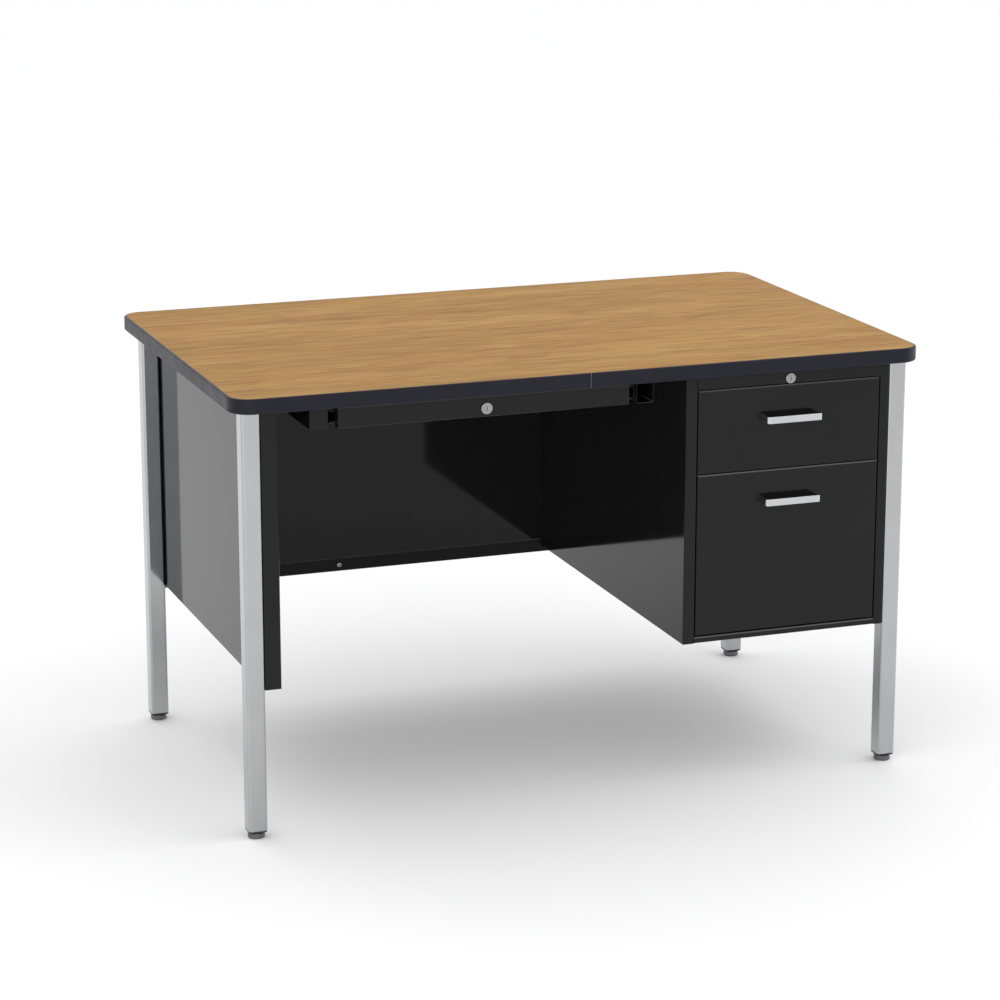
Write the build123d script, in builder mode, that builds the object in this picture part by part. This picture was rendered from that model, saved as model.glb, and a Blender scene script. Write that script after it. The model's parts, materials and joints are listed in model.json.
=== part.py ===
from build123d import *
import os

# Single-pedestal teacher desk in millimetres.
# +X right, +Y towards the modesty panel, +Z up, origin on the floor under the centre of the top.

# ---------------------------------------------------------------- driving dimensions

# worktop
top_width = 1219.2
top_depth = 762.0
desk_height = 749.3
top_thickness = 25.4
laminate_thickness = 1.2
backer_thickness = 0.8
band_width = 4.0
corner_radius = 38.1
edge_rounding = 3.2
tongue_depth = 8.0
tongue_height = 2.0
band_seam = 0.8

# legs
leg_size = 31.75
leg_wall = 1.5
leg_corner = 4.5
leg_bottom = 14.45
leg_inner_x = 558.4
leg_front_y = -356.9
leg_back_y = 332.55
bolt_heights = (300.0, 495.0, 690.0)

# sheet metal
sheet = 1.0
bend = 2.0
shell_bottom = 256.4
lip_depth = 12.0
strip_width = 28.0
left_stile_width = 20.9
right_stile_width = 17.0

# pedestal
pedestal_left_x = 180.9
case_back_y = 330.9
header_bottom = 698.9
bottom_rail_height = 11.0
rail_return = 16.9
front_gap = 1.5
file_front_z = (269.4, 551.8)
box_front_z = (552.9, 698.0)
front_depth = 19.0

# drawer bodies and slides
body_rear_y = 290.0
box_body_z = (571.0, 680.0)
file_body_z = (283.0, 520.0)
slide_thickness = 12.1
slide_front_y = -335.0
slide_length = 609.6
box_slide_z = 625.0
file_slide_z = 400.0

# pulls
pull_width = 102.9
pull_height = 12.0
pull_reach = 25.0
pull_bar = 5.0
pull_z = {"box": 643.0, "file": 499.6}

# centre drawer
tray_left_x = -429.0
tray_right_x = 78.0
tray_front_z = (684.5, 720.0)
tray_front_depth = 15.0
tray_body_z = (688.0, 716.0)
tray_rear_y = 80.0
hanger_offset = 15.0
hanger_width = 31.0
hanger_bottom = 684.0
hanger_front_y = -350.0
hanger_tab = 14.0

# locks
barrel_radius = 7.7
bore_radius = 5.5
plug_radius = 5.45
pedestal_lock_z = 708.4
pedestal_bezel = (9.0, 2.5)
pedestal_barrel = 25.0
rod_radius = 3.0
lock_throw = 10.0
centre_lock_z = 698.7
centre_bezel = (9.75, 2.2)
centre_barrel = 6.4
centre_lock_offset = 1.1
bolt_y = -347.5
bolt_throw = 8.0
strike_screw_offset = 17.0

# fasteners
wood_screw_radius = 2.1
wood_screw_length = 15.0
leg_bolt_radius = 3.175

# ---------------------------------------------------------------- derived places

underside = desk_height - top_thickness
pan_top = underside
leg_middle_y = leg_front_y + leg_size / 2
rear_leg_middle_y = leg_back_y - leg_size / 2
stile_inner_left = pedestal_left_x + left_stile_width
stile_inner_right = leg_inner_x - right_stile_width
pedestal_middle_x = (pedestal_left_x + leg_inner_x) / 2
front_middle_x = (stile_inner_left + stile_inner_right) / 2
front_left_x = stile_inner_left + front_gap
front_right_x = stile_inner_right - front_gap
body_left_x = stile_inner_left + 0.4 + slide_thickness
body_right_x = 2 * pedestal_middle_x - body_left_x
tray_middle_x = (tray_left_x + tray_right_x) / 2
tray_body_left_x = tray_left_x + 2.5
tray_body_right_x = tray_right_x - 2.5
hanger_inner_x = tray_left_x - hanger_offset
hanger_outer_x = hanger_inner_x - hanger_width
lock_x = tray_middle_x + centre_lock_offset
modesty_y = leg_back_y - sheet
modesty_break_z = 266.9
modesty_bottom_z = 240.9
modesty_flange_y = leg_back_y - 21.0
side_flange = 28.0
rear_rail_y = case_back_y - 31.9
half_sheet = sheet / 2
screw_seat = underside - sheet
left_flange_x = -leg_inner_x + 14.4
right_flange_x = leg_inner_x - 9.0
inner_flange_x = pedestal_left_x + 10.6
header_screw_y = leg_front_y + 10.0
rear_screw_y = rear_rail_y - 9.0
modesty_screw_y = leg_back_y - 11.5

os.makedirs("parts", exist_ok=True)


def save(sub_part, label):
    """Label a finished sub-part and write its STEP file."""
    sub_part.part.label = label
    export_step(sub_part.part, f"parts/{label}.step")


def block(x_range, y_range, z_range, mode=Mode.ADD):
    """A box between two limits on each axis, in the sub-part being built."""
    spans = (x_range, y_range, z_range)
    middle = [(low + high) / 2 for low, high in spans]
    size = [high - low for low, high in spans]
    with Locations(tuple(middle)):
        Box(*size, mode=mode)


def bent_sheet(plane, points, thickness, length, radius=bend):
    """Sheet bent along a centreline in the plane, extruded along the plane's normal."""
    with BuildSketch(plane) as section:
        with BuildLine():
            FilletPolyline(*points, radius=radius)
        trace(line_width=thickness)
    extrude(section.sketch, amount=length)


def rod(start, direction, radius, length, mode=Mode.ADD):
    """A round bar or hole from a start point along a direction."""
    with Locations(Plane(origin=start, z_dir=direction)):
        Cylinder(radius, length, align=(Align.CENTER, Align.CENTER, Align.MIN), mode=mode)


def pan_screw(head_radius, head_height, shank_radius, shank_length):
    """A pan-head screw with a cross recess: head above its local XY plane, shank below it."""
    with BuildPart() as screw:
        with BuildSketch(Plane.XZ):
            with BuildLine():
                Polyline(
                    (0, head_height),
                    (head_radius * 0.55, head_height),
                    (head_radius * 0.9, head_height * 0.6),
                    (head_radius, 0),
                    (shank_radius, 0),
                    (shank_radius, -shank_length + shank_radius),
                    (0, -shank_length),
                    close=True,
                )
            make_face()
        revolve(axis=Axis.Z)
        with Locations((0, 0, head_height)):
            Box(head_radius * 0.9, 1.0, head_height, mode=Mode.SUBTRACT)
            Box(1.0, head_radius * 0.9, head_height, mode=Mode.SUBTRACT)
    return screw.part


# ---------------------------------------------------------------- worktop

core_top = desk_height - laminate_thickness
core_bottom = underside + backer_thickness
tongue_z = (core_top + core_bottom) / 2

# places of the wood screws: end panel, pedestal, modesty panel, hangers and strike plate
side_screw_y = (-285.0, -110.0, 80.0, 232.0)
cross_screw_x = (260.0, 480.0)
hanger_screw_x = (hanger_outer_x - 7.5, hanger_inner_x + 5.5)
hanger_screw_y = (-300.0, 40.0)
strike_screw_x = (lock_x - strike_screw_offset, lock_x + strike_screw_offset)
modesty_top_screw_x = (-350.0, 0.0, 300.0)
wood_screw_places = [(x, y) for x in (left_flange_x, inner_flange_x, right_flange_x) for y in side_screw_y]
wood_screw_places += [(x, header_screw_y) for x in cross_screw_x]
wood_screw_places += [(x, rear_screw_y) for x in cross_screw_x]
wood_screw_places += [(x, modesty_screw_y) for x in modesty_top_screw_x]
for hanger_x in hanger_screw_x:
    for place_y in hanger_screw_y:
        wood_screw_places += [(hanger_x, place_y), (2 * tray_middle_x - hanger_x, place_y)]
wood_screw_places += [(x, bolt_y) for x in strike_screw_x]
mortise_x = (lock_x - 9.0, lock_x + 9.0)
mortise_y = (bolt_y - 3.5, bolt_y + 3.5)
mortise_top = 733.0


def worktop_outline(inset, mode=Mode.ADD):
    """The top's rounded rectangle, moved in by an inset."""
    RectangleRounded(top_width - 2 * inset, top_depth - 2 * inset, corner_radius - inset, mode=mode)


def tongue_ring():
    """The ring between the band's inner face and the end of its tongue."""
    worktop_outline(band_width)
    worktop_outline(band_width + tongue_depth, Mode.SUBTRACT)


with BuildPart() as top_core:
    with BuildSketch(Plane.XY.offset(core_bottom)):
        worktop_outline(band_width)
    extrude(amount=core_top - core_bottom)
    with BuildSketch(Plane.XY.offset(tongue_z - tongue_height / 2)):
        tongue_ring()
    extrude(amount=tongue_height, mode=Mode.SUBTRACT)
    for place_x, place_y in wood_screw_places:
        rod(
            (place_x, place_y, core_bottom),
            (0, 0, 1),
            wood_screw_radius,
            screw_seat + wood_screw_length - core_bottom,
            Mode.SUBTRACT,
        )
    block(mortise_x, mortise_y, (core_bottom, mortise_top), Mode.SUBTRACT)
save(top_core, "top_core")

with BuildPart() as top_laminate:
    with BuildSketch(Plane.XY.offset(core_top)):
        worktop_outline(band_width)
    extrude(amount=laminate_thickness)
save(top_laminate, "top_laminate")

with BuildPart() as top_backer:
    with BuildSketch(Plane.XY.offset(underside)):
        worktop_outline(band_width)
    extrude(amount=backer_thickness)
    for place_x, place_y in wood_screw_places:
        rod((place_x, place_y, underside), (0, 0, 1), wood_screw_radius, backer_thickness, Mode.SUBTRACT)
    block(mortise_x, mortise_y, (underside, core_bottom), Mode.SUBTRACT)
save(top_backer, "top_backer")

with BuildPart() as edge_band:
    with BuildSketch(Plane.XY.offset(underside)):
        worktop_outline(0)
    extrude(amount=top_thickness)
    rims = edge_band.edges().filter_by(lambda edge: abs(edge.center().Z - tongue_z) > top_thickness / 3)
    fillet(rims, radius=edge_rounding)
    with BuildSketch(Plane.XY.offset(underside)):
        worktop_outline(band_width)
    extrude(amount=top_thickness, mode=Mode.SUBTRACT)
    with BuildSketch(Plane.XY.offset(tongue_z - tongue_height / 2)):
        tongue_ring()
    extrude(amount=tongue_height)
    seam_x = (-band_seam / 2, band_seam / 2)
    block(seam_x, (-top_depth, -top_depth / 3), (underside, desk_height), Mode.SUBTRACT)
save(edge_band, "edge_band")

wood_screw = pan_screw(4.5, 2.6, wood_screw_radius, wood_screw_length)
with BuildPart() as top_screws:
    with Locations(*[Plane(origin=(x, y, screw_seat), z_dir=(0, 0, -1)) for x, y in wood_screw_places]):
        add(wood_screw)
save(top_screws, "top_screws")

# ---------------------------------------------------------------- legs and feet

leg_places = {
    "front_left": (-leg_inner_x - leg_size / 2, leg_middle_y),
    "front_right": (leg_inner_x + leg_size / 2, leg_middle_y),
    "rear_left": (-leg_inner_x - leg_size / 2, rear_leg_middle_y),
    "rear_right": (leg_inner_x + leg_size / 2, rear_leg_middle_y),
}


def leg_bolt_places():
    """Where each leg bolt's shank crosses its leg's inner wall, and the way the bolt points."""
    places = []
    for corner, (leg_x, leg_y) in leg_places.items():
        outward = 1 if leg_x > 0 else -1
        seat = leg_inner_x - sheet if corner.startswith("front") else leg_inner_x - 2 * sheet
        for height in bolt_heights:
            places.append((outward, seat, leg_y, height))
    return places


insert_flange = 3.0
insert_size = leg_size - 2 * leg_wall
insert_length = 30.0
stem_radius = 3.95
stem_bore = 4.0
stem_top = 38.0
foot_height = 11.0
foot_radius = 14.3

for corner, (leg_x, leg_y) in leg_places.items():
    with BuildPart() as leg:
        with BuildSketch(Plane.XY.offset(leg_bottom)):
            with Locations((leg_x, leg_y)):
                RectangleRounded(leg_size, leg_size, leg_corner)
                RectangleRounded(insert_size, insert_size, leg_corner - leg_wall, mode=Mode.SUBTRACT)
        extrude(amount=underside - leg_bottom)
        for outward, seat, place_y, height in leg_bolt_places():
            rod(
                (outward * (leg_inner_x - 1), place_y, height),
                (outward, 0, 0),
                leg_bolt_radius,
                leg_wall + 2,
                Mode.SUBTRACT,
            )
    save(leg, f"leg_{corner}")

    with BuildPart() as glide:
        with BuildSketch(Plane.XZ.offset(-leg_y)):
            with BuildLine():
                Polyline(
                    (leg_x, 0),
                    (leg_x + foot_radius - 1.5, 0),
                    (leg_x + foot_radius, 1.5),
                    (leg_x + foot_radius, foot_height - 2.5),
                    (leg_x + foot_radius - 2.0, foot_height),
                    (leg_x + stem_radius, foot_height),
                    (leg_x + stem_radius, stem_top),
                    (leg_x, stem_top),
                    close=True,
                )
            make_face()
        revolve(axis=Axis((leg_x, leg_y, 0), (0, 0, 1)))
    save(glide, f"glide_{corner}")

with BuildPart() as leg_inserts:
    for leg_x, leg_y in leg_places.values():
        with BuildSketch(Plane.XY.offset(leg_bottom - insert_flange)):
            with Locations((leg_x, leg_y)):
                RectangleRounded(leg_size - 1, leg_size - 1, leg_corner)
                Circle(stem_bore, mode=Mode.SUBTRACT)
        extrude(amount=insert_flange)
        with BuildSketch(Plane.XY.offset(leg_bottom)):
            with Locations((leg_x, leg_y)):
                RectangleRounded(insert_size, insert_size, leg_corner - leg_wall)
                Circle(stem_bore, mode=Mode.SUBTRACT)
        extrude(amount=insert_length)
save(leg_inserts, "leg_inserts")

with BuildPart() as leg_bolts:
    for outward, seat, place_y, height in leg_bolt_places():
        shank = leg_inner_x + 8.0 - seat
        with BuildSketch(Plane(origin=(outward * seat, place_y, height), z_dir=(-outward, 0, 0))):
            RegularPolygon(5.5, 6)
        extrude(amount=4.0)
        rod((outward * seat, place_y, height), (outward, 0, 0), leg_bolt_radius, shank)
save(leg_bolts, "leg_bolts")

with BuildPart() as leg_nuts:
    for outward, _, place_y, height in leg_bolt_places():
        nut_x = outward * (leg_inner_x + leg_wall)
        with BuildSketch(Plane(origin=(nut_x, place_y, height), z_dir=(outward, 0, 0))):
            RegularPolygon(5.5, 6)
            Circle(leg_bolt_radius, mode=Mode.SUBTRACT)
        extrude(amount=5.0)
save(leg_nuts, "leg_nuts")

# ---------------------------------------------------------------- side pans


def side_pan(outer_x, inward, flange, rear_y):
    """A side panel bent into a pan: face at outer_x, flanges inward, a lip behind the front flange."""
    flange_x = outer_x + inward * (flange - half_sheet)
    face_x = outer_x + inward * half_sheet
    outline = (
        (flange_x, leg_front_y + lip_depth),
        (flange_x, leg_front_y + half_sheet),
        (face_x, leg_front_y + half_sheet),
        (face_x, rear_y),
    )
    bent_sheet(Plane.XY.offset(shell_bottom), outline, sheet, pan_top - shell_bottom)
    flange_span = sorted((outer_x + inward * sheet, outer_x + inward * (flange - 0.1)))
    for low in (shell_bottom, pan_top - sheet):
        block(flange_span, (leg_front_y + sheet, modesty_y), (low, low + sheet))


def flange_holes(flange_x, length):
    """Screw holes through a top flange."""
    for place_y in side_screw_y:
        rod((flange_x, place_y, underside - sheet - 1), (0, 0, 1), wood_screw_radius, length, Mode.SUBTRACT)


def leg_holes(side):
    """Bolt holes for both legs on one side, side being -1 or 1."""
    for outward, seat, place_y, height in leg_bolt_places():
        if outward == side:
            start = (outward * (seat - 1), place_y, height)
            rod(start, (outward, 0, 0), leg_bolt_radius, leg_inner_x + 2 - seat, Mode.SUBTRACT)


with BuildPart() as left_end_panel:
    side_pan(-leg_inner_x, 1, strip_width, leg_back_y)
    flange_holes(left_flange_x, 4)
    leg_holes(-1)
save(left_end_panel, "left_end_panel")

with BuildPart() as pedestal_right_side:
    side_pan(leg_inner_x, -1, right_stile_width, leg_back_y)
    flange_holes(right_flange_x, 4)
    leg_holes(1)
save(pedestal_right_side, "pedestal_right_side")

with BuildPart() as pedestal_left_side:
    side_pan(pedestal_left_x, 1, left_stile_width, modesty_y)
    flange_holes(inner_flange_x, 4)
save(pedestal_left_side, "pedestal_left_side")

# ---------------------------------------------------------------- modesty panel

modesty_left_x = -leg_inner_x + sheet
modesty_right_x = leg_inner_x - sheet
band_step = 1.2
band_tilt = 6.5
band_height = modesty_break_z - modesty_bottom_z
band_middle = Vector(0, modesty_y + band_step + band_tilt / 2, modesty_bottom_z + band_height / 2)
band_normal = Vector(0, -band_height, -band_tilt).normalized()
modesty_screw_x = (-217.9, 217.9)
modesty_screw_planes = [
    Plane(origin=(x, band_middle.Y - 0.02, band_middle.Z), z_dir=band_normal) for x in modesty_screw_x
]

with BuildPart() as modesty_panel:
    with BuildSketch(Plane.YZ.offset(modesty_left_x)):
        with BuildLine():
            Polyline(
                (modesty_y + half_sheet, screw_seat),
                (modesty_y + half_sheet, modesty_break_z + band_step),
                (modesty_y + half_sheet + band_step, modesty_break_z),
                (modesty_y + half_sheet + band_step + band_tilt, modesty_bottom_z),
            )
        trace(line_width=sheet)
    extrude(amount=modesty_right_x - modesty_left_x)
    block(
        (-leg_inner_x + strip_width + 0.5, leg_inner_x - right_stile_width - 0.5),
        (modesty_flange_y, leg_back_y),
        (screw_seat, underside),
    )
    for low_x in (modesty_left_x, modesty_right_x - sheet):
        flange_y = (leg_back_y - side_flange, leg_back_y)
        block((low_x, low_x + sheet), flange_y, (modesty_break_z + band_step, screw_seat))
    block(
        (pedestal_left_x, stile_inner_left + 0.5),
        (modesty_flange_y, modesty_y),
        (screw_seat, underside),
        Mode.SUBTRACT,
    )
    for place_x in modesty_top_screw_x:
        rod((place_x, modesty_screw_y, underside - 3), (0, 0, 1), wood_screw_radius, 4, Mode.SUBTRACT)
    leg_holes(-1)
    leg_holes(1)
    with Locations(*modesty_screw_planes):
        Cylinder(wood_screw_radius, 12, mode=Mode.SUBTRACT)
save(modesty_panel, "modesty_panel")

modesty_screw = pan_screw(4.8, 2.4, wood_screw_radius, 9.0)
with BuildPart() as modesty_screws:
    with Locations(*modesty_screw_planes):
        add(modesty_screw)
save(modesty_screws, "modesty_screws")

with BuildPart() as modesty_rail:
    rail_front_y = modesty_y + band_step + band_tilt + sheet + 0.2
    rail_y = (rail_front_y, rail_front_y + 10.0)
    block((modesty_left_x, modesty_right_x), rail_y, (modesty_bottom_z + 1, modesty_break_z - 3))
    rail_edges = modesty_rail.edges().filter_by(Axis.X)
    fillet(rail_edges, radius=1.2)
    with Locations(*modesty_screw_planes):
        Cylinder(wood_screw_radius, 40, mode=Mode.SUBTRACT)
save(modesty_rail, "modesty_rail")

# ---------------------------------------------------------------- pedestal case

inner_left_x = pedestal_left_x + sheet
inner_right_x = leg_inner_x - sheet
floor_z = shell_bottom + sheet

with BuildPart() as pedestal_back:
    back_x = (inner_left_x, inner_right_x - sheet)
    block(back_x, (case_back_y - sheet, case_back_y), (floor_z, screw_seat))
save(pedestal_back, "pedestal_back")

with BuildPart() as pedestal_floor:
    floor_y = (leg_front_y + rail_return + 0.1, case_back_y - sheet)
    block((inner_left_x, inner_right_x), floor_y, (floor_z, floor_z + sheet))
save(pedestal_floor, "pedestal_floor")



def cross_rail(z_range):
    """A channel between the stiles, its web at the front and both flanges running back."""
    back_y = leg_front_y + rail_return
    outline = (
        (back_y, z_range[1] - half_sheet),
        (leg_front_y + half_sheet, z_range[1] - half_sheet),
        (leg_front_y + half_sheet, z_range[0] + half_sheet),
        (back_y, z_range[0] + half_sheet),
    )
    bent_sheet(Plane.YZ.offset(stile_inner_left), outline, sheet, stile_inner_right - stile_inner_left)


with BuildPart() as pedestal_bottom_rail:
    cross_rail((shell_bottom, shell_bottom + bottom_rail_height))
save(pedestal_bottom_rail, "pedestal_bottom_rail")

with BuildPart() as pedestal_header:
    cross_rail((header_bottom, underside))
    rod((front_middle_x, leg_front_y - 1, pedestal_lock_z), (0, 1, 0), barrel_radius, 3, Mode.SUBTRACT)
    for place_x in cross_screw_x:
        rod((place_x, header_screw_y, underside - 3), (0, 0, 1), wood_screw_radius, 4, Mode.SUBTRACT)
save(pedestal_header, "pedestal_header")

with BuildPart() as pedestal_rear_rail:
    rail_z = (header_bottom - 5, screw_seat)
    block((inner_left_x, inner_right_x), (rear_rail_y, rear_rail_y + sheet), rail_z)
    block(
        (stile_inner_left + 0.5, stile_inner_right - 0.5),
        (rear_rail_y + sheet - 20, rear_rail_y + sheet),
        (screw_seat, underside),
    )
    bore_start = (front_middle_x, rear_rail_y - 1, pedestal_lock_z)
    rod(bore_start, (0, 1, 0), rod_radius + 0.08, 3, Mode.SUBTRACT)
    for place_x in cross_screw_x:
        rod((place_x, rear_screw_y, underside - 3), (0, 0, 1), wood_screw_radius, 4, Mode.SUBTRACT)
save(pedestal_rear_rail, "pedestal_rear_rail")

# ---------------------------------------------------------------- telescopic slides

outer_sheet = 1.4
moving_sheet = 1.2
outer_web_x = body_left_x - 14.2
upright_depth = outer_web_x - outer_sheet / 2 - inner_left_x
upright_width = 25.0
upright_low_y = (-325.0, 240.0)


def channel(web_x, open_way, reach, height, thickness, middle_z, y_range):
    """A C-shaped slide member along Y: web at web_x, flanges reaching open_way (-1 or 1) in X."""
    rise = height / 2 - thickness / 2
    end_x = web_x + open_way * reach
    outline = (
        (end_x, middle_z + rise),
        (web_x, middle_z + rise),
        (web_x, middle_z - rise),
        (end_x, middle_z - rise),
    )
    bent_sheet(Plane.XZ.offset(-y_range[1]), outline, thickness, y_range[1] - y_range[0], radius=1.6)


with BuildPart() as slide_uprights:
    for low_y in upright_low_y:
        web_x = inner_left_x + upright_depth - half_sheet
        outline = (
            (inner_left_x, low_y + half_sheet),
            (web_x, low_y + half_sheet),
            (web_x, low_y + upright_width - half_sheet),
            (inner_left_x, low_y + upright_width - half_sheet),
        )
        bent_sheet(Plane.XY.offset(floor_z + sheet), outline, sheet, screw_seat - floor_z - sheet)
    mirror(about=Plane.YZ.offset(pedestal_middle_x))
save(slide_uprights, "slide_uprights")

outer_y = (slide_front_y, slide_front_y + slide_length)
moving_y = (slide_front_y + 2, slide_front_y + slide_length - 2)
for drawer, slide_z in (("box", box_slide_z), ("file", file_slide_z)):
    with BuildPart() as slide_outer:
        channel(outer_web_x, 1, 8.9, 45.7, outer_sheet, slide_z, outer_y)
        mirror(about=Plane.YZ.offset(pedestal_middle_x))
    save(slide_outer, f"{drawer}_slide_outer")

    with BuildPart() as slide_middle:
        channel(body_left_x - 11.3, 1, 7.6, 36.0, moving_sheet, slide_z, moving_y)
        mirror(about=Plane.YZ.offset(pedestal_middle_x))
    save(slide_middle, f"{drawer}_slide_middle")

    with BuildPart() as slide_inner:
        channel(body_left_x - moving_sheet / 2, -1, 8.1, 27.2, moving_sheet, slide_z, moving_y)
        mirror(about=Plane.YZ.offset(pedestal_middle_x))
    save(slide_inner, f"{drawer}_slide_inner")

# ---------------------------------------------------------------- pedestal drawers

pull_screw_offset = pull_width / 2 - pull_bar / 2
pull_screw_radius = 1.6
pull_screw_length = 11.0
hem_height = 7.0
# tops of the lips that the lock bar's hooks drop behind
catch_z = {"box": 640.0, "file": 460.0}
catch_half_width = 12.0
catch_depth = 14.0
catch_reach = 22.0
catch_sheet = 1.5


def front_pan(pan, x_range, z_range, depth):
    """Build a drawer front: a shallow pan with rounded front edges, open at the back."""
    block(x_range, (leg_front_y, leg_front_y + depth), z_range)
    face_edges = pan.faces().sort_by(Axis.Y)[0].edges()
    fillet(face_edges, radius=2.5)
    back_face = pan.faces().sort_by(Axis.Y)[-1]
    offset(amount=-sheet, openings=back_face)


def tray_body(tray, x_range, y_range, z_range):
    """Build an open-topped sheet tray with rounded bottom edges and a folded hem along both sides."""
    block(x_range, y_range, z_range)
    bottom_edges = tray.faces().sort_by(Axis.Z)[0].edges()
    fillet(bottom_edges, radius=bend)
    top_face = tray.faces().sort_by(Axis.Z)[-1]
    offset(amount=-sheet, openings=top_face)
    inner_low = x_range[0] + sheet
    inner_high = x_range[1] - sheet
    hem_z = (z_range[1] - hem_height, z_range[1])
    hem_y = (y_range[0] + sheet, y_range[1] - sheet)
    block((inner_low, inner_low + sheet), hem_y, hem_z)
    block((inner_high - sheet, inner_high), hem_y, hem_z)


def pull_screw_planes(drawer_name):
    """Screw seats of a pull, on the back of the drawer front's sheet."""
    seat_y = leg_front_y + sheet
    places_x = (front_middle_x - pull_screw_offset, front_middle_x + pull_screw_offset)
    return [Plane(origin=(x, seat_y, pull_z[drawer_name]), z_dir=(0, 1, 0)) for x in places_x]


pull_screw = pan_screw(3.6, 2.0, pull_screw_radius, pull_screw_length)
drawers = {
    "box": (box_front_z, box_body_z),
    "file": (file_front_z, file_body_z),
}
plate_y = (leg_front_y + front_depth - sheet, leg_front_y + front_depth)
for drawer, (front_z, body_z) in drawers.items():
    with BuildPart() as drawer_front:
        front_pan(drawer_front, (front_left_x, front_right_x), front_z, front_depth)
        with Locations(*pull_screw_planes(drawer)):
            Cylinder(pull_screw_radius, 6, mode=Mode.SUBTRACT)
    save(drawer_front, f"{drawer}_drawer_front")

    with BuildPart() as drawer_body:
        tray_body(drawer_body, (body_left_x, body_right_x), (plate_y[0], body_rear_y), body_z)
        plate_x = (front_left_x + sheet, front_right_x - sheet)
        block(plate_x, plate_y, (front_z[0] + sheet, front_z[1] - sheet))
        lip_top = catch_z[drawer]
        catch_x = (front_middle_x - catch_half_width, front_middle_x + catch_half_width)
        catch_low = lip_top - catch_depth
        catch_back_y = body_rear_y + catch_reach
        block(catch_x, (body_rear_y, catch_back_y), (catch_low, catch_low + catch_sheet))
        block(catch_x, (catch_back_y - catch_sheet, catch_back_y), (catch_low, lip_top))
    save(drawer_body, f"{drawer}_drawer_body")

    with BuildPart() as drawer_pull:
        bar_x = pull_width / 2 - pull_bar / 2
        bar_y = leg_front_y - pull_reach + pull_bar / 2
        pull_outline = (
            (front_middle_x - bar_x, leg_front_y),
            (front_middle_x - bar_x, bar_y),
            (front_middle_x + bar_x, bar_y),
            (front_middle_x + bar_x, leg_front_y),
        )
        pull_low = pull_z[drawer] - pull_height / 2
        bent_sheet(Plane.XY.offset(pull_low), pull_outline, pull_bar, pull_height, radius=4.0)
        rim_edges = drawer_pull.faces().filter_by(Axis.Z).edges()
        fillet(rim_edges.filter_by(lambda edge: edge.center().Y < leg_front_y - 0.5), radius=1.0)
        with Locations(*pull_screw_planes(drawer)):
            Cylinder(pull_screw_radius, 2 * pull_screw_length, mode=Mode.SUBTRACT)
    save(drawer_pull, f"{drawer}_drawer_pull")

    with BuildPart() as pull_screws:
        with Locations(*pull_screw_planes(drawer)):
            add(pull_screw)
    save(pull_screws, f"{drawer}_pull_screws")

with BuildPart() as file_hang_rails:
    rail_x = (body_left_x + 0.2, body_left_x + 1.7)
    hang_rail_y = (slide_front_y + 10, body_rear_y - 12)
    block(rail_x, hang_rail_y, (file_body_z[1], file_body_z[1] + 12))
    mirror(about=Plane.YZ.offset(pedestal_middle_x))
save(file_hang_rails, "file_hang_rails")

# ---------------------------------------------------------------- pedestal lock


def lock_housing(housing, middle_x, middle_z, bezel, barrel_length):
    """Build a lock barrel behind the front plane with its bezel in front, bored for the plug."""
    bezel_radius, bezel_height = bezel
    rod((middle_x, leg_front_y - bezel_height, middle_z), (0, 1, 0), bezel_radius, bezel_height)
    fillet(housing.faces().sort_by(Axis.Y)[0].edges(), radius=0.8)
    rod((middle_x, leg_front_y, middle_z), (0, 1, 0), barrel_radius, barrel_length)
    bore_start = (middle_x, leg_front_y - bezel_height - 1, middle_z)
    rod(bore_start, (0, 1, 0), bore_radius, bezel_height + barrel_length + 2, Mode.SUBTRACT)


def key_plug(middle_x, middle_z, bezel, tail_y):
    """The turning plug with its keyway, a little proud of its bezel, ending at tail_y."""
    front_y = leg_front_y - bezel[1] - 0.3
    rod((middle_x, front_y, middle_z), (0, 1, 0), plug_radius, tail_y - front_y)
    keyway_z = (middle_z - 3.2, middle_z + 3.2)
    block((middle_x - 0.6, middle_x + 0.6), (front_y, front_y + 4), keyway_z, Mode.SUBTRACT)


rod_start_y = leg_front_y + pedestal_barrel + 3.0
with BuildPart() as pedestal_lock_housing:
    lock_housing(pedestal_lock_housing, front_middle_x, pedestal_lock_z, pedestal_bezel, pedestal_barrel)
save(pedestal_lock_housing, "pedestal_lock_housing")

with BuildPart() as pedestal_lock_plug:
    key_plug(front_middle_x, pedestal_lock_z, pedestal_bezel, rod_start_y)
save(pedestal_lock_plug, "pedestal_lock_plug")

# the crank pin starts 45 degrees above the rod and ends 45 degrees below it
crank_rise = lock_throw / 2
crank_z = pedestal_lock_z + crank_rise
crank_x = front_middle_x + crank_rise
crank_y = (rear_rail_y + 9.0, rear_rail_y + 12.5)
crank_half_width = 4.5
bar_y = (rear_rail_y + 19.0, rear_rail_y + 21.0)
crank_pin_radius = 2.0
with BuildPart() as pedestal_lock_rod:
    rod_length = crank_y[1] - rod_start_y
    rod((front_middle_x, rod_start_y, pedestal_lock_z), (0, 1, 0), rod_radius, rod_length)
    with BuildSketch(Plane.XZ.offset(-crank_y[1])):
        with BuildLine():
            Line((front_middle_x, pedestal_lock_z), (crank_x, crank_z))
        trace(line_width=2 * crank_half_width)
        with Locations((front_middle_x, pedestal_lock_z), (crank_x, crank_z)):
            Circle(crank_half_width)
    extrude(amount=crank_y[1] - crank_y[0])
    rod((crank_x, crank_y[1], crank_z), (0, 1, 0), crank_pin_radius, 10.0)
save(pedestal_lock_rod, "pedestal_lock_rod")

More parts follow.
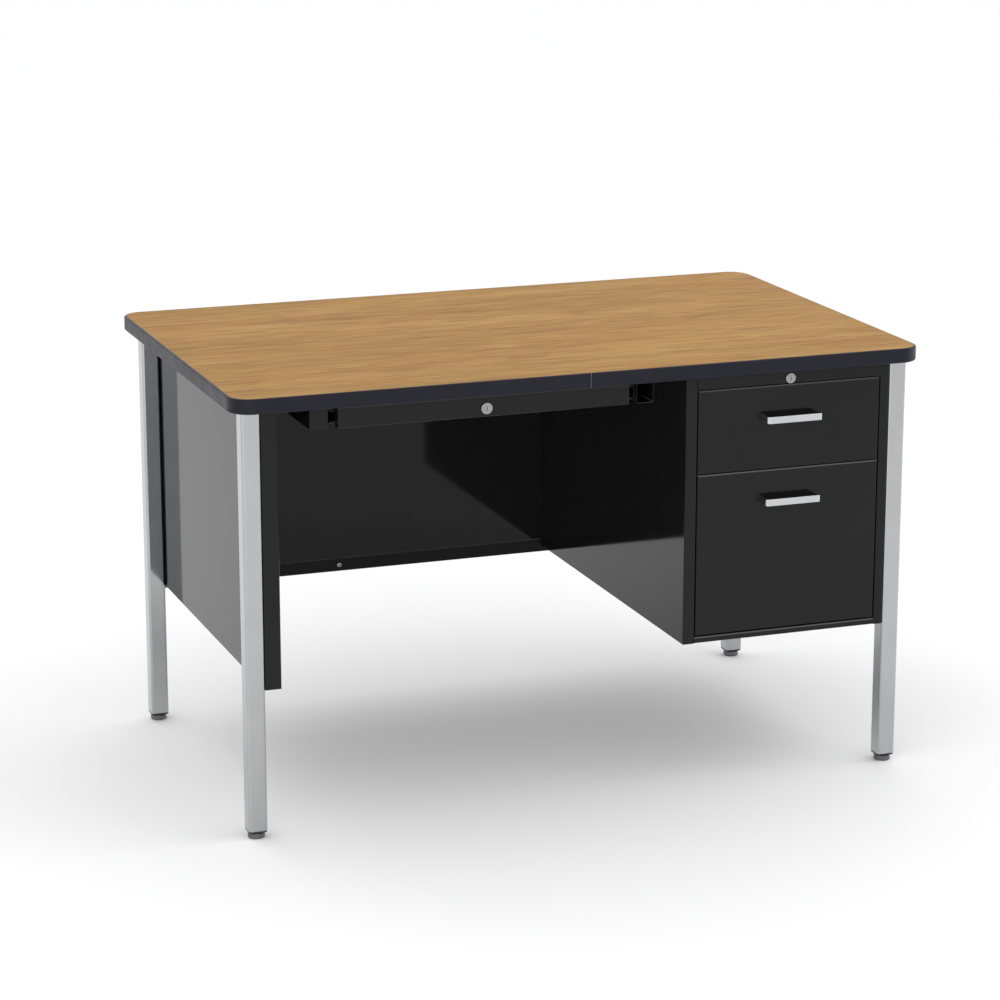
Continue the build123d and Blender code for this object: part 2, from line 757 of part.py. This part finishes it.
bar_half_width = 9.0
bar_z = (440.0, 720.0)
bar_head_bottom = 698.0
hook_half_width = 7.0
hook_sheet = 1.5
hook_arm_rise = 14.0
hook_tip_rise = 2.5
hook_front_y = body_rear_y + 12.0
with BuildPart() as pedestal_lock_bar:
    block((front_middle_x - bar_half_width, front_middle_x + bar_half_width), bar_y, bar_z)
    block((front_middle_x - 11, front_middle_x + 15), bar_y, (bar_head_bottom, bar_z[1]))
    slot_length = 2.2 + 2 * (crank_pin_radius + 0.4)
    with BuildSketch(Plane.XZ.offset(-bar_y[1] - 1)):
        with Locations((crank_x + 1.05, crank_z)):
            SlotOverall(slot_length, 2 * (crank_pin_radius + 0.35))
    extrude(amount=4, mode=Mode.SUBTRACT)
    for lip_top in catch_z.values():
        hook_x = (front_middle_x - hook_half_width, front_middle_x + hook_half_width)
        arm_z = (lip_top + hook_arm_rise, lip_top + hook_arm_rise + hook_sheet)
        block(hook_x, (hook_front_y, bar_y[0]), arm_z)
        block(hook_x, (hook_front_y, hook_front_y + hook_sheet), (lip_top + hook_tip_rise, arm_z[1]))
save(pedestal_lock_bar, "pedestal_lock_bar")

guide_low_z = (500.0, 590.0)
guide_height = 20.0
guide_gap = 0.4
with BuildPart() as lock_bar_guides:
    for low in guide_low_z:
        guide_x = (front_middle_x - 16, front_middle_x + 16)
        guide_z = (low, low + guide_height)
        block(guide_x, (bar_y[0] - 2.6, case_back_y - sheet), guide_z)
        slot_half = bar_half_width + guide_gap
        slot_x = (front_middle_x - slot_half, front_middle_x + slot_half)
        block(slot_x, (bar_y[0] - guide_gap, bar_y[1] + guide_gap), guide_z, Mode.SUBTRACT)
save(lock_bar_guides, "lock_bar_guides")

# ---------------------------------------------------------------- centre drawer

tray_plate_y = (leg_front_y + tray_front_depth - sheet, leg_front_y + tray_front_depth)
bolt_half_width = 7.0
bolt_slot_x = (lock_x - bolt_half_width - 0.6, lock_x + bolt_half_width + 0.6)
bolt_slot_y = (bolt_y - 1.9, bolt_y + 1.9)

with BuildPart() as centre_drawer_front:
    front_pan(centre_drawer_front, (tray_left_x, tray_right_x), tray_front_z, tray_front_depth)
    rod((lock_x, leg_front_y - 1, centre_lock_z), (0, 1, 0), barrel_radius, 4, Mode.SUBTRACT)
    block(bolt_slot_x, bolt_slot_y, (tray_front_z[1] - 2, tray_front_z[1] + 1), Mode.SUBTRACT)
save(centre_drawer_front, "centre_drawer_front")

with BuildPart() as centre_drawer_body:
    body_x = (tray_body_left_x, tray_body_right_x)
    tray_body(centre_drawer_body, body_x, (tray_plate_y[0], tray_rear_y), tray_body_z)
    plate_x = (tray_left_x + sheet, tray_right_x - sheet)
    block(plate_x, tray_plate_y, (tray_front_z[0] + sheet, tray_front_z[1] - sheet))
save(centre_drawer_body, "centre_drawer_body")

pencil_wall = 2.0
pencil_depth = 86.0
pocket_widths = (120.0, 240.0, 129.6)
with BuildPart() as pencil_tray:
    pencil_x = (tray_body_left_x + 2.2, tray_body_right_x - 2.2)
    pencil_y = (tray_plate_y[1] + 1.2, tray_plate_y[1] + pencil_depth)
    pencil_z = (tray_body_z[0] + sheet, tray_body_z[1] - 4)
    block(pencil_x, pencil_y, pencil_z)
    pocket_low_x = pencil_x[0] + pencil_wall
    for pocket_width in pocket_widths:
        pocket_x = (pocket_low_x, pocket_low_x + pocket_width)
        pocket_y = (pencil_y[0] + pencil_wall, pencil_y[1] - pencil_wall)
        block(pocket_x, pocket_y, (pencil_z[0] + pencil_wall, pencil_z[1]), Mode.SUBTRACT)
        pocket_low_x += pocket_width + pencil_wall
save(pencil_tray, "pencil_tray")

with BuildPart() as centre_drawer_hangers:
    hanger_low = hanger_bottom + half_sheet
    hanger_high = underside - half_sheet
    outline = (
        (hanger_outer_x - hanger_tab, hanger_high),
        (hanger_outer_x + half_sheet, hanger_high),
        (hanger_outer_x + half_sheet, hanger_low),
        (hanger_inner_x - half_sheet, hanger_low),
        (hanger_inner_x - half_sheet, hanger_high),
        (hanger_inner_x + hanger_offset - 5, hanger_high),
    )
    bent_sheet(Plane.XZ.offset(-tray_rear_y), outline, sheet, tray_rear_y - hanger_front_y)
    for hanger_x in hanger_screw_x:
        for place_y in hanger_screw_y:
            rod((hanger_x, place_y, underside - 3), (0, 0, 1), wood_screw_radius, 4, Mode.SUBTRACT)
    mirror(about=Plane.YZ.offset(tray_middle_x))
    end_y = (hanger_front_y - sheet, hanger_front_y)
    block((hanger_outer_x, hanger_inner_x), end_y, (hanger_bottom, underside))
save(centre_drawer_hangers, "centre_drawer_hangers")

centre_slide_z = (tray_body_z[0] + tray_body_z[1]) / 2
rail_height = 24.0
rail_sheet = 1.4
rail_reach = 11.8
runner_reach = 11.3
with BuildPart() as centre_slide_rails:
    rail_web_x = hanger_inner_x + rail_sheet / 2
    rail_y = (hanger_front_y + 10, tray_rear_y)
    channel(rail_web_x, 1, rail_reach, rail_height, rail_sheet, centre_slide_z, rail_y)
    mirror(about=Plane.YZ.offset(tray_middle_x))
save(centre_slide_rails, "centre_slide_rails")

with BuildPart() as centre_slide_runners:
    runner_height = rail_height - 2 * rail_sheet - 1.0
    runner_web_x = tray_body_left_x - rail_sheet / 2
    runner_y = (tray_plate_y[1] + 0.5, tray_rear_y)
    channel(runner_web_x, -1, runner_reach, runner_height, rail_sheet, centre_slide_z, runner_y)
    mirror(about=Plane.YZ.offset(tray_middle_x))
save(centre_slide_runners, "centre_slide_runners")

# ---------------------------------------------------------------- centre lock

barrel_back_y = leg_front_y + centre_barrel
with BuildPart() as centre_lock_housing:
    lock_housing(centre_lock_housing, lock_x, centre_lock_z, centre_bezel, centre_barrel)
save(centre_lock_housing, "centre_lock_housing")

# the eccentric pin starts 45 degrees below the plug's axis on the left and ends 45 degrees above it
pin_offset = bolt_throw / 2
pin_x = lock_x - pin_offset
pin_z = centre_lock_z - pin_offset
pin_radius = 1.5
disc_radius = 7.3
disc_y = (barrel_back_y + 0.3, barrel_back_y + 1.6)
with BuildPart() as centre_lock_plug:
    key_plug(lock_x, centre_lock_z, centre_bezel, barrel_back_y + 0.6)
    rod((lock_x, disc_y[0], centre_lock_z), (0, 1, 0), disc_radius, disc_y[1] - disc_y[0])
    rod((pin_x, disc_y[1], pin_z), (0, 1, 0), pin_radius, 3.5)
save(centre_lock_plug, "centre_lock_plug")

bolt_plate_y = (disc_y[1] + 0.3, disc_y[1] + 2.8)
with BuildPart() as centre_lock_bolt:
    bolt_x = (lock_x - bolt_half_width, lock_x + bolt_half_width)
    block(bolt_x, bolt_plate_y, (690.0, tray_front_z[1] + 0.5))
    block((lock_x - 10, lock_x + 10), bolt_plate_y, (686.6, 706.0))
    with BuildSketch(Plane.XZ.offset(-bolt_plate_y[1] - 1)):
        with Locations((pin_x - 0.83, pin_z)):
            SlotOverall(1.66 + 2 * (pin_radius + 0.4), 2 * (pin_radius + 0.35))
    extrude(amount=5, mode=Mode.SUBTRACT)
save(centre_lock_bolt, "centre_lock_bolt")

case_z = (686.0, 718.0)
case_back = tray_plate_y[0] - 0.3
with BuildPart() as centre_lock_case:
    block((lock_x - 12, lock_x + 12), (leg_front_y + sheet, case_back), case_z)
    block((lock_x - 11, lock_x + 11), (leg_front_y + sheet, case_back - 0.8), case_z, Mode.SUBTRACT)
save(centre_lock_case, "centre_lock_case")

with BuildPart() as centre_lock_strike:
    block((lock_x - 23, lock_x + 23), (bolt_y - 8, bolt_y + 8), (screw_seat, underside))
    block((lock_x - 8, lock_x + 8), (bolt_y - 3, bolt_y + 3), (screw_seat, underside), Mode.SUBTRACT)
    for place_x in strike_screw_x:
        rod((place_x, bolt_y, screw_seat - 1), (0, 0, 1), wood_screw_radius, 3, Mode.SUBTRACT)
save(centre_lock_strike, "centre_lock_strike")
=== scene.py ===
import json
import math

import bpy
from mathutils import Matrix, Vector


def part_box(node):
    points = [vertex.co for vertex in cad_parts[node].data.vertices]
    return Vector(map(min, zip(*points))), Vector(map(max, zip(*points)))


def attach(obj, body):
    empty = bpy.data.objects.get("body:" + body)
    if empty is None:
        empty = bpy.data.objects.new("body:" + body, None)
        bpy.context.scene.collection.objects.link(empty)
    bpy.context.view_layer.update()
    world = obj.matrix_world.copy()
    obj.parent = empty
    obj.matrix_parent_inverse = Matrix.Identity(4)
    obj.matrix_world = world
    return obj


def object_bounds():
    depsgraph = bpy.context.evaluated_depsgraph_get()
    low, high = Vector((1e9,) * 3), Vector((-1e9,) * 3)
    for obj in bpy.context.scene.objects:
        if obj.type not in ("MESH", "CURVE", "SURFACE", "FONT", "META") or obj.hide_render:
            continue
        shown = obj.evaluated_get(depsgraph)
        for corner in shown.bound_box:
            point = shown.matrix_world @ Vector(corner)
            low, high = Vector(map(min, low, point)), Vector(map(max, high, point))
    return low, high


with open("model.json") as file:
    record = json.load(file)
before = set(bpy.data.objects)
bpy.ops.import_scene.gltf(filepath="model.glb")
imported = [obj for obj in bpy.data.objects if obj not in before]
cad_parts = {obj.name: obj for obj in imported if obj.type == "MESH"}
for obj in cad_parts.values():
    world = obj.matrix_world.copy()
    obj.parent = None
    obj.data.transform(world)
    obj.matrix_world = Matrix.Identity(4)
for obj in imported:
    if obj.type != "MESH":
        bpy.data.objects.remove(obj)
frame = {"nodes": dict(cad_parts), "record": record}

# Looks of a single-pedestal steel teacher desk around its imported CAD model.
# Metres, +X to the sitter's right, +Y towards the modesty panel, +Z up, origin on the floor.

cad_low, cad_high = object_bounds()
MM = 0.001
RAMP_MIDDLE = 0.5
BEVEL_SAMPLES = 4
EDGE_LIFT = (0.06, 0.38)  # upward share of a normal over which an edge starts to count as upper, for the painted edge highlight
LEVEL_LIFT = (0.95, 0.99)  # upward share of a normal over which a face counts as a level top

# ---------------------------------------------------------------- shader building


class Look:
    """A material under construction: each method adds one node and returns the socket it makes."""

    def __init__(self, name):
        self.material = bpy.data.materials.new(name)
        self.material.use_nodes = True
        self.tree = self.material.node_tree
        self.tree.nodes.clear()
        self.shader = self.add("ShaderNodeBsdfPrincipled")
        output = self.add("ShaderNodeOutputMaterial")
        self.join(self.shader.outputs["BSDF"], output.inputs["Surface"])
        self.place = self.add("ShaderNodeTexCoord").outputs["Object"]

    def add(self, kind):
        return self.tree.nodes.new(kind)

    def join(self, out_socket, in_socket):
        self.tree.links.new(out_socket, in_socket)

    def fixed(self, **values):
        """Set values that are the same all over straight on the shader's sockets."""
        for name, value in values.items():
            socket = self.shader.inputs[name.replace("_", " ").title().replace("Ior", "IOR")]
            socket.default_value = (*value, 1.0) if isinstance(value, tuple) else value

    def stretched(self, scale, turn=(0.0, 0.0, 0.0)):
        """Coordinates scaled apart along X, Y and Z, for grain and brushing."""
        mapping = self.add("ShaderNodeMapping")
        mapping.inputs["Scale"].default_value = scale
        mapping.inputs["Rotation"].default_value = turn
        self.join(self.place, mapping.inputs["Vector"])
        return mapping.outputs["Vector"]

    def noise(self, scale, detail=3.0, roughness=0.5, distortion=0.0, at=None):
        node = self.add("ShaderNodeTexNoise")
        node.inputs["Scale"].default_value = scale
        node.inputs["Detail"].default_value = detail
        node.inputs["Roughness"].default_value = roughness
        node.inputs["Distortion"].default_value = distortion
        self.join(at or self.place, node.inputs["Vector"])
        return node.outputs["Fac"]

    def cells(self, scale, at):
        """A random colour for each cell."""
        node = self.add("ShaderNodeTexVoronoi")
        node.inputs["Scale"].default_value = scale
        self.join(at, node.inputs["Vector"])
        return node.outputs["Color"]

    def ramp(self, factor, *stops):
        """Colour by factor; each stop is (place, colour)."""
        node = self.add("ShaderNodeValToRGB")
        elements = node.color_ramp.elements
        while len(elements) < len(stops):
            elements.new(RAMP_MIDDLE)
        for element, (place, colour) in zip(elements, stops):
            element.position = place
            element.color = (*colour, 1.0)
        self.join(factor, node.inputs["Fac"])
        return node.outputs["Color"]

    def span(self, factor, low, high, start=0.0, end=1.0):
        """Map factor from start..end onto low..high, clamped."""
        node = self.add("ShaderNodeMapRange")
        node.inputs["From Min"].default_value = start
        node.inputs["From Max"].default_value = end
        node.inputs["To Min"].default_value = low
        node.inputs["To Max"].default_value = high
        self.join(factor, node.inputs["Value"])
        return node.outputs["Result"]

    def blend(self, factor, first, second, way="MIX"):
        """Mix two colours, each a socket or a colour, by a factor socket or number."""
        node = self.add("ShaderNodeMix")
        node.data_type = "RGBA"
        node.blend_type = way
        for socket, value in (("Factor", factor), ("A", first), ("B", second)):
            target = next(s for s in node.inputs if s.name == socket and s.enabled)
            if isinstance(value, bpy.types.NodeSocket):
                self.join(value, target)
            elif isinstance(value, tuple):
                target.default_value = (*value, 1.0)
            else:
                target.default_value = value
        return next(s for s in node.outputs if s.enabled)

    def maths(self, way, first, second):
        node = self.add("ShaderNodeMath")
        node.operation = way
        for socket, value in zip(node.inputs, (first, second)):
            if isinstance(value, bpy.types.NodeSocket):
                self.join(value, socket)
            else:
                socket.default_value = value
        return node.outputs["Value"]

    def rounded(self, radius):
        """Normals that round off sharp edges by radius."""
        node = self.add("ShaderNodeBevel")
        node.samples = BEVEL_SAMPLES
        node.inputs["Radius"].default_value = radius
        return node.outputs["Normal"]

    def upper_edge_highlight(self, radius):
        """Mask for a painted highlight: one along upper edges of upright faces, fading within
        radius, and zero on level tops.
        """
        lifts = []
        for normal in (self.rounded(radius), self.add("ShaderNodeNewGeometry").outputs["Normal"]):
            split = self.add("ShaderNodeSeparateXYZ")
            self.join(normal, split.inputs["Vector"])
            lifts.append(split.outputs["Z"])
        turned_up = self.span(lifts[0], 0.0, 1.0, *EDGE_LIFT)
        not_level = self.span(lifts[1], 1.0, 0.0, *LEVEL_LIFT)
        return self.maths("MULTIPLY", turned_up, not_level)

    def bump(self, height, depth, strength=1.0, over=None):
        """Normals raised by height times depth, over other normals where given."""
        node = self.add("ShaderNodeBump")
        node.inputs["Strength"].default_value = strength
        node.inputs["Distance"].default_value = depth
        self.join(height, node.inputs["Height"])
        if over is not None:
            self.join(over, node.inputs["Normal"])
        return node.outputs["Normal"]

    def colour(self, socket):
        self.join(socket, self.shader.inputs["Base Color"])

    def rough(self, socket):
        self.join(socket, self.shader.inputs["Roughness"])

    def normal(self, socket):
        self.join(socket, self.shader.inputs["Normal"])


# ---------------------------------------------------------------- materials


# colour and width of the painted highlight along upper edges of the black paint, standing in for
# light caught by rounded edges
EDGE_HIGHLIGHT = (0.085, 0.085, 0.085)
EDGE_HIGHLIGHT_WIDTH = 2.0 * MM
PAINT_IOR = 1.29
PEEL_HEIGHT = 0.002 * MM
SHEET_ROUNDING = 0.6 * MM


def gloss_black_paint():
    """Baked black enamel on sheet metal: faint orange peel, soft hazy patches, and a painted
    highlight of lighter grey along upper edges of upright faces.
    """
    look = Look("gloss_black_paint")
    haze = look.noise(6.0, detail=4.0, roughness=0.6)
    enamel = look.ramp(
        haze,
        (0.35, (0.0064, 0.0064, 0.0068)),
        (0.75, (0.0084, 0.0084, 0.0088)),
    )
    # painted highlight: upper edges of upright faces are mixed towards a lighter grey where light
    # from above would catch them
    look.colour(look.blend(look.upper_edge_highlight(EDGE_HIGHLIGHT_WIDTH), enamel, EDGE_HIGHLIGHT))
    look.rough(look.span(haze, 0.050, 0.080, 0.3, 0.75))
    look.fixed(ior=PAINT_IOR)
    peel = look.noise(170.0, detail=2.0)
    look.normal(look.bump(peel, PEEL_HEIGHT, over=look.rounded(SHEET_ROUNDING)))
    return look.material


OAK_DARK = (0.292, 0.152, 0.037)
OAK_MIDDLE = (0.352, 0.194, 0.051)
OAK_LIGHT = (0.430, 0.250, 0.073)
OAK_RUSSET = (0.405, 0.182, 0.038)
OAK_GOLD = (0.500, 0.305, 0.092)
OAK_STREAK = (0.218, 0.098, 0.022)
OAK_GLEAM = (0.530, 0.325, 0.112)
OAK_FIBRE = (0.200, 0.092, 0.023)
OAK_PORE = (0.145, 0.065, 0.020)
LAMINATE_IOR = 1.17
PRESS_HEIGHT = 0.02 * MM
PRESS_SHARE = 0.4


def oak_laminate():
    """Printed medium-oak laminate with its grain along X and a satin press texture."""
    look = Look("oak_laminate")

    def grain(scale, detail, roughness, distortion=0.0, turn=0.0):
        """Noise drawn out along X; turn is a slight lean of the grain in radians."""
        at = look.stretched((*scale, 1.0), (0.0, 0.0, turn))
        return look.noise(1.0, detail, roughness, distortion, at)

    boards = grain((1.6, 15.0), 3.0, 0.55, distortion=0.35)
    streaks = grain((9.0, 95.0), 4.0, 0.6, distortion=0.25)
    flecks = grain((16.0, 150.0), 3.0, 0.6, turn=0.012)
    fibres = grain((22.0, 620.0), 3.0, 0.6)
    pores = grain((34.0, 760.0), 2.0, 0.5)
    hue = grain((3.0, 30.0), 2.0, 0.5, turn=0.01)
    base = look.ramp(boards, (0.28, OAK_DARK), (0.50, OAK_MIDDLE), (0.72, OAK_LIGHT))
    tinted = look.blend(look.span(hue, 0.0, 0.6, 0.45, 0.75), base, OAK_RUSSET)
    golden = look.blend(look.span(flecks, 0.0, 0.7, 0.56, 0.76), tinted, OAK_GOLD)
    streaked = look.blend(look.span(streaks, 0.0, 0.90, 0.52, 0.74), golden, OAK_STREAK)
    lit = look.blend(look.span(streaks, 0.55, 0.0, 0.26, 0.46), streaked, OAK_GLEAM)
    fine = look.blend(look.span(fibres, 0.0, 0.55, 0.46, 0.76), lit, OAK_FIBRE)
    dashes = look.span(pores, 0.0, 0.8, 0.66, 0.74)
    look.colour(look.blend(dashes, fine, OAK_PORE))
    press = look.noise(900.0, detail=2.0)
    look.rough(look.span(fibres, 0.48, 0.58, 0.3, 0.7))
    look.fixed(ior=LAMINATE_IOR)
    height = look.maths("SUBTRACT", look.maths("MULTIPLY", press, PRESS_SHARE), dashes)
    look.normal(look.bump(height, PRESS_HEIGHT))
    return look.material


def charcoal_band():
    """Moulded vinyl edge: charcoal with a slight blue cast and a fine leather-like grain."""
    look = Look("charcoal_band")
    tone = look.noise(40.0, detail=5.0, roughness=0.6)
    look.colour(look.ramp(
        tone,
        (0.3, (0.0048, 0.0042, 0.0110)),
        (0.7, (0.0074, 0.0068, 0.0145)),
    ))
    grain = look.noise(1300.0, detail=3.0)
    look.rough(look.span(tone, 0.36, 0.46, 0.3, 0.7))
    look.fixed(ior=1.31)
    look.normal(look.bump(grain, 0.03 * MM, over=look.rounded(0.3 * MM)))
    return look.material


HAIR_FINENESS = 1400.0
HAIR_LENGTHWISE = 12.0
SMEAR_SHADE = 0.93


def brushed_metal(name, colour, roughness, along, scratch=0.004 * MM, edge=0.4 * MM):
    """Plated metal whose fine scratches run along one axis."""
    look = Look(name)
    scale = [HAIR_FINENESS] * 3
    scale[along] = HAIR_LENGTHWISE
    hairs = look.noise(1.0, detail=3.0, roughness=0.6, at=look.stretched(tuple(scale)))
    smears = look.noise(14.0, detail=4.0, roughness=0.6)
    dull = tuple(SMEAR_SHADE * part for part in colour)
    look.colour(look.ramp(smears, (0.35, dull), (0.7, colour)))
    look.rough(look.span(smears, 0.8 * roughness, 1.25 * roughness, 0.3, 0.7))
    look.fixed(metallic=1.0)
    look.normal(look.bump(hairs, scratch, over=look.rounded(edge)))
    return look.material


def zinc_plate(name, colour, roughness):
    """Electroplated zinc with a faint mottled passivation."""
    look = Look(name)
    mottle = look.noise(90.0, detail=4.0, roughness=0.65)
    blue = (colour[0] * 0.92, colour[1] * 0.97, colour[2] * 1.04)
    warm = (colour[0] * 1.03, colour[1] * 1.0, colour[2] * 0.90)
    look.colour(look.ramp(mottle, (0.32, blue), (0.5, colour), (0.68, warm)))
    look.rough(look.span(mottle, roughness - 0.05, roughness + 0.08, 0.3, 0.7))
    look.fixed(metallic=1.0)
    look.normal(look.bump(look.noise(700.0), 0.006 * MM, over=look.rounded(0.3 * MM)))
    return look.material


def moulded_plastic(name, dark, light, roughness, texture=0.03 * MM):
    """Injection-moulded plastic with a spark-eroded texture."""
    look = Look(name)
    tone = look.noise(30.0, detail=3.0)
    look.colour(look.ramp(tone, (0.3, dark), (0.7, light)))
    look.rough(look.span(tone, roughness - 0.04, roughness + 0.06, 0.3, 0.7))
    look.fixed(ior=1.47)
    look.normal(look.bump(look.noise(1600.0, detail=2.0), texture, over=look.rounded(0.3 * MM)))
    return look.material


def particleboard():
    """Pressed wood chips."""
    look = Look("particleboard")
    chips = look.cells(430.0, look.stretched((0.5, 0.5, 1.4)))
    value = look.noise(300.0, detail=4.0, roughness=0.7)
    base = look.ramp(
        value,
        (0.3, (0.30, 0.19, 0.10)),
        (0.55, (0.47, 0.33, 0.19)),
        (0.75, (0.60, 0.46, 0.29)),
    )
    look.colour(look.blend(0.22, base, chips, "SOFT_LIGHT"))
    look.fixed(roughness=0.85)
    look.normal(look.bump(value, 0.2 * MM))
    return look.material


def backing_sheet():
    """Brown kraft phenolic sheet under the top."""
    look = Look("backing_sheet")
    fibres = look.noise(240.0, detail=5.0, roughness=0.7)
    look.colour(look.ramp(fibres, (0.3, (0.090, 0.052, 0.030)), (0.7, (0.150, 0.092, 0.055))))
    look.rough(look.span(fibres, 0.50, 0.66, 0.3, 0.7))
    look.normal(look.bump(fibres, 0.03 * MM))
    return look.material


DARK_STEEL = ((0.006, 0.006, 0.006), (0.010, 0.010, 0.010))
DARK_FOOT = ((0.014, 0.014, 0.015), (0.022, 0.022, 0.023))
DARK_TRAY = ((0.010, 0.010, 0.011), (0.018, 0.018, 0.019))
PALE_NYLON = ((0.62, 0.60, 0.55), (0.72, 0.70, 0.65))
CHROME = (0.45, 0.455, 0.465)
SATIN_CHROME = (0.56, 0.57, 0.58)
GLIDE_STEEL = (0.16, 0.16, 0.165)
LOCK_CHROME = (0.34, 0.34, 0.34)

SLOT_LOOKS = {
    "laminate": oak_laminate(),
    "particleboard": particleboard(),
    "backing_sheet": backing_sheet(),
    "edge_band": charcoal_band(),
    "chrome_tube": brushed_metal("chrome_tube", CHROME, 0.12, along=2, scratch=0.002 * MM),
    "foot_plastic": moulded_plastic("foot_plastic", *DARK_FOOT, 0.42),
    "glide_steel": brushed_metal("glide_steel", GLIDE_STEEL, 0.34, along=0),
    "black_paint": gloss_black_paint(),
    "zinc": zinc_plate("zinc_fastener", (0.62, 0.63, 0.64), 0.30),
    "slide_zinc": zinc_plate("slide_zinc", (0.58, 0.60, 0.62), 0.34),
    "black_steel": moulded_plastic("black_steel", *DARK_STEEL, 0.5, 0.01 * MM),
    "satin_chrome": brushed_metal("satin_chrome", SATIN_CHROME, 0.24, along=0),
    "lock_chrome": brushed_metal("lock_chrome", LOCK_CHROME, 0.20, along=1),
    "tray_plastic": moulded_plastic("tray_plastic", *DARK_TRAY, 0.44),
    "guide_nylon": moulded_plastic("guide_nylon", *PALE_NYLON, 0.38),
}

for part in frame["record"]["subparts"]:
    piece = frame["nodes"][part["node"]]
    piece.data.materials.clear()
    piece.data.materials.append(SLOT_LOOKS[part["material_slot"]])

# ---------------------------------------------------------------- seam of the edge band

SEAM_HALF = 0.34 * MM
SEAM_INSET = 0.5 * MM
SEAM_DEPTH = 2.0 * MM
SEAM_COLOUR = (0.26, 0.26, 0.27)
BOX_SIDES = [(0, 1, 3, 2), (4, 6, 7, 5), (0, 4, 5, 1), (2, 3, 7, 6), (0, 2, 6, 4), (1, 5, 7, 3)]


def seam_pale_strip():
    """A pale strip in the join between the two ends of the edge band."""
    band_low, band_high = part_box("edge_band")
    front = band_low.y + SEAM_INSET
    low, high = band_low.z + SEAM_INSET, band_high.z - SEAM_INSET
    spots = [
        (x, y, z)
        for x in (-SEAM_HALF, SEAM_HALF)
        for y in (front, front + SEAM_DEPTH)
        for z in (low, high)
    ]
    mesh = bpy.data.meshes.new("seam_pale_strip")
    mesh.from_pydata(spots, [], BOX_SIDES)
    filler = bpy.data.objects.new("seam_pale_strip", mesh)
    bpy.context.scene.collection.objects.link(filler)
    look = Look("seam_pale_line")
    look.fixed(base_color=SEAM_COLOUR, roughness=0.5)
    mesh.materials.append(look.material)
    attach(filler, "root")


seam_pale_strip()

# ---------------------------------------------------------------- studio

FLOOR_HALF = 30.0
FLOOR_COLOUR = (0.92, 0.92, 0.92)
WORLD_LIGHT = 1.085


def studio_floor():
    """A wide pale floor that fades into the bright surroundings."""
    mesh = bpy.data.meshes.new("studio_floor")
    signs = ((-1, -1), (1, -1), (1, 1), (-1, 1))
    corners = [(x * FLOOR_HALF, y * FLOOR_HALF, cad_low.z) for x, y in signs]
    mesh.from_pydata(corners, [], [(0, 1, 2, 3)])
    floor = bpy.data.objects.new("studio_floor", mesh)
    bpy.context.scene.collection.objects.link(floor)
    look = Look("studio_floor")
    look.fixed(base_color=FLOOR_COLOUR, roughness=0.6, specular_ior_level=0.1)
    mesh.materials.append(look.material)


def surroundings():
    """Even white light from all round."""
    world = bpy.data.worlds.new("surroundings")
    world.use_nodes = True
    background = world.node_tree.nodes["Background"]
    background.inputs["Color"].default_value = (1.0, 1.0, 1.0, 1.0)
    background.inputs["Strength"].default_value = WORLD_LIGHT
    bpy.context.scene.world = world
    bpy.context.scene.view_settings.view_transform = "Standard"


def softbox(name, place, aim, size, radiance):
    """A rectangular lamp at place facing aim, with a given brightness of its face."""
    data = bpy.data.lights.new(name, "AREA")
    data.shape = "RECTANGLE"
    data.size, data.size_y = size
    data.energy = radiance * math.pi * size[0] * size[1]
    lamp = bpy.data.objects.new(name, data)
    lamp.location = place
    lamp.rotation_mode = "QUATERNION"
    lamp.rotation_quaternion = (Vector(aim) - Vector(place)).to_track_quat("-Z", "Y")
    bpy.context.scene.collection.objects.link(lamp)


SOFTBOXES = {  # place, aim, size and radiance
    "overhead_softbox": ((1.3, -1.1, 3.1), (0.2, -0.2, 0.6), (1.8, 1.4), 0.9),
    "front_softbox": ((-2.2, -3.6, 1.5), (0.0, 0.0, 0.1), (2.0, 1.2), 3.0),
    "rear_softbox": ((-1.6, 2.2, 2.6), (-1.2, 1.9, 0.0), (1.6, 1.6), 0.8),
    "side_softbox": ((3.6, -0.6, 1.0), (0.2, 0.0, 0.1), (1.6, 1.2), 2.6),
}

CAMERA_PLACE = Vector((-1.909, -5.189, 1.879))
CAMERA_YAW = math.radians(19.99)
CAMERA_PITCH = math.radians(-14.58)
CAMERA_LENS = 115.86  # mm, on a sensor of SENSOR_WIDTH
SENSOR_WIDTH = 36.0
CLIP_END = 200.0


def camera():
    """A long lens looking down a little from the left of the sitter's side."""
    data = bpy.data.cameras.new("camera")
    data.lens = CAMERA_LENS
    data.sensor_width = SENSOR_WIDTH
    data.clip_end = CLIP_END
    viewer = bpy.data.objects.new("camera", data)
    forward = Vector((
        math.sin(CAMERA_YAW) * math.cos(CAMERA_PITCH),
        math.cos(CAMERA_YAW) * math.cos(CAMERA_PITCH),
        math.sin(CAMERA_PITCH),
    ))
    viewer.location = CAMERA_PLACE
    viewer.rotation_mode = "QUATERNION"
    viewer.rotation_quaternion = forward.to_track_quat("-Z", "Y")
    bpy.context.scene.collection.objects.link(viewer)
    bpy.context.scene.camera = viewer


studio_floor()
surroundings()
for lamp_name, (place, aim, size, radiance) in SOFTBOXES.items():
    softbox(lamp_name, place, aim, size, radiance)
camera()
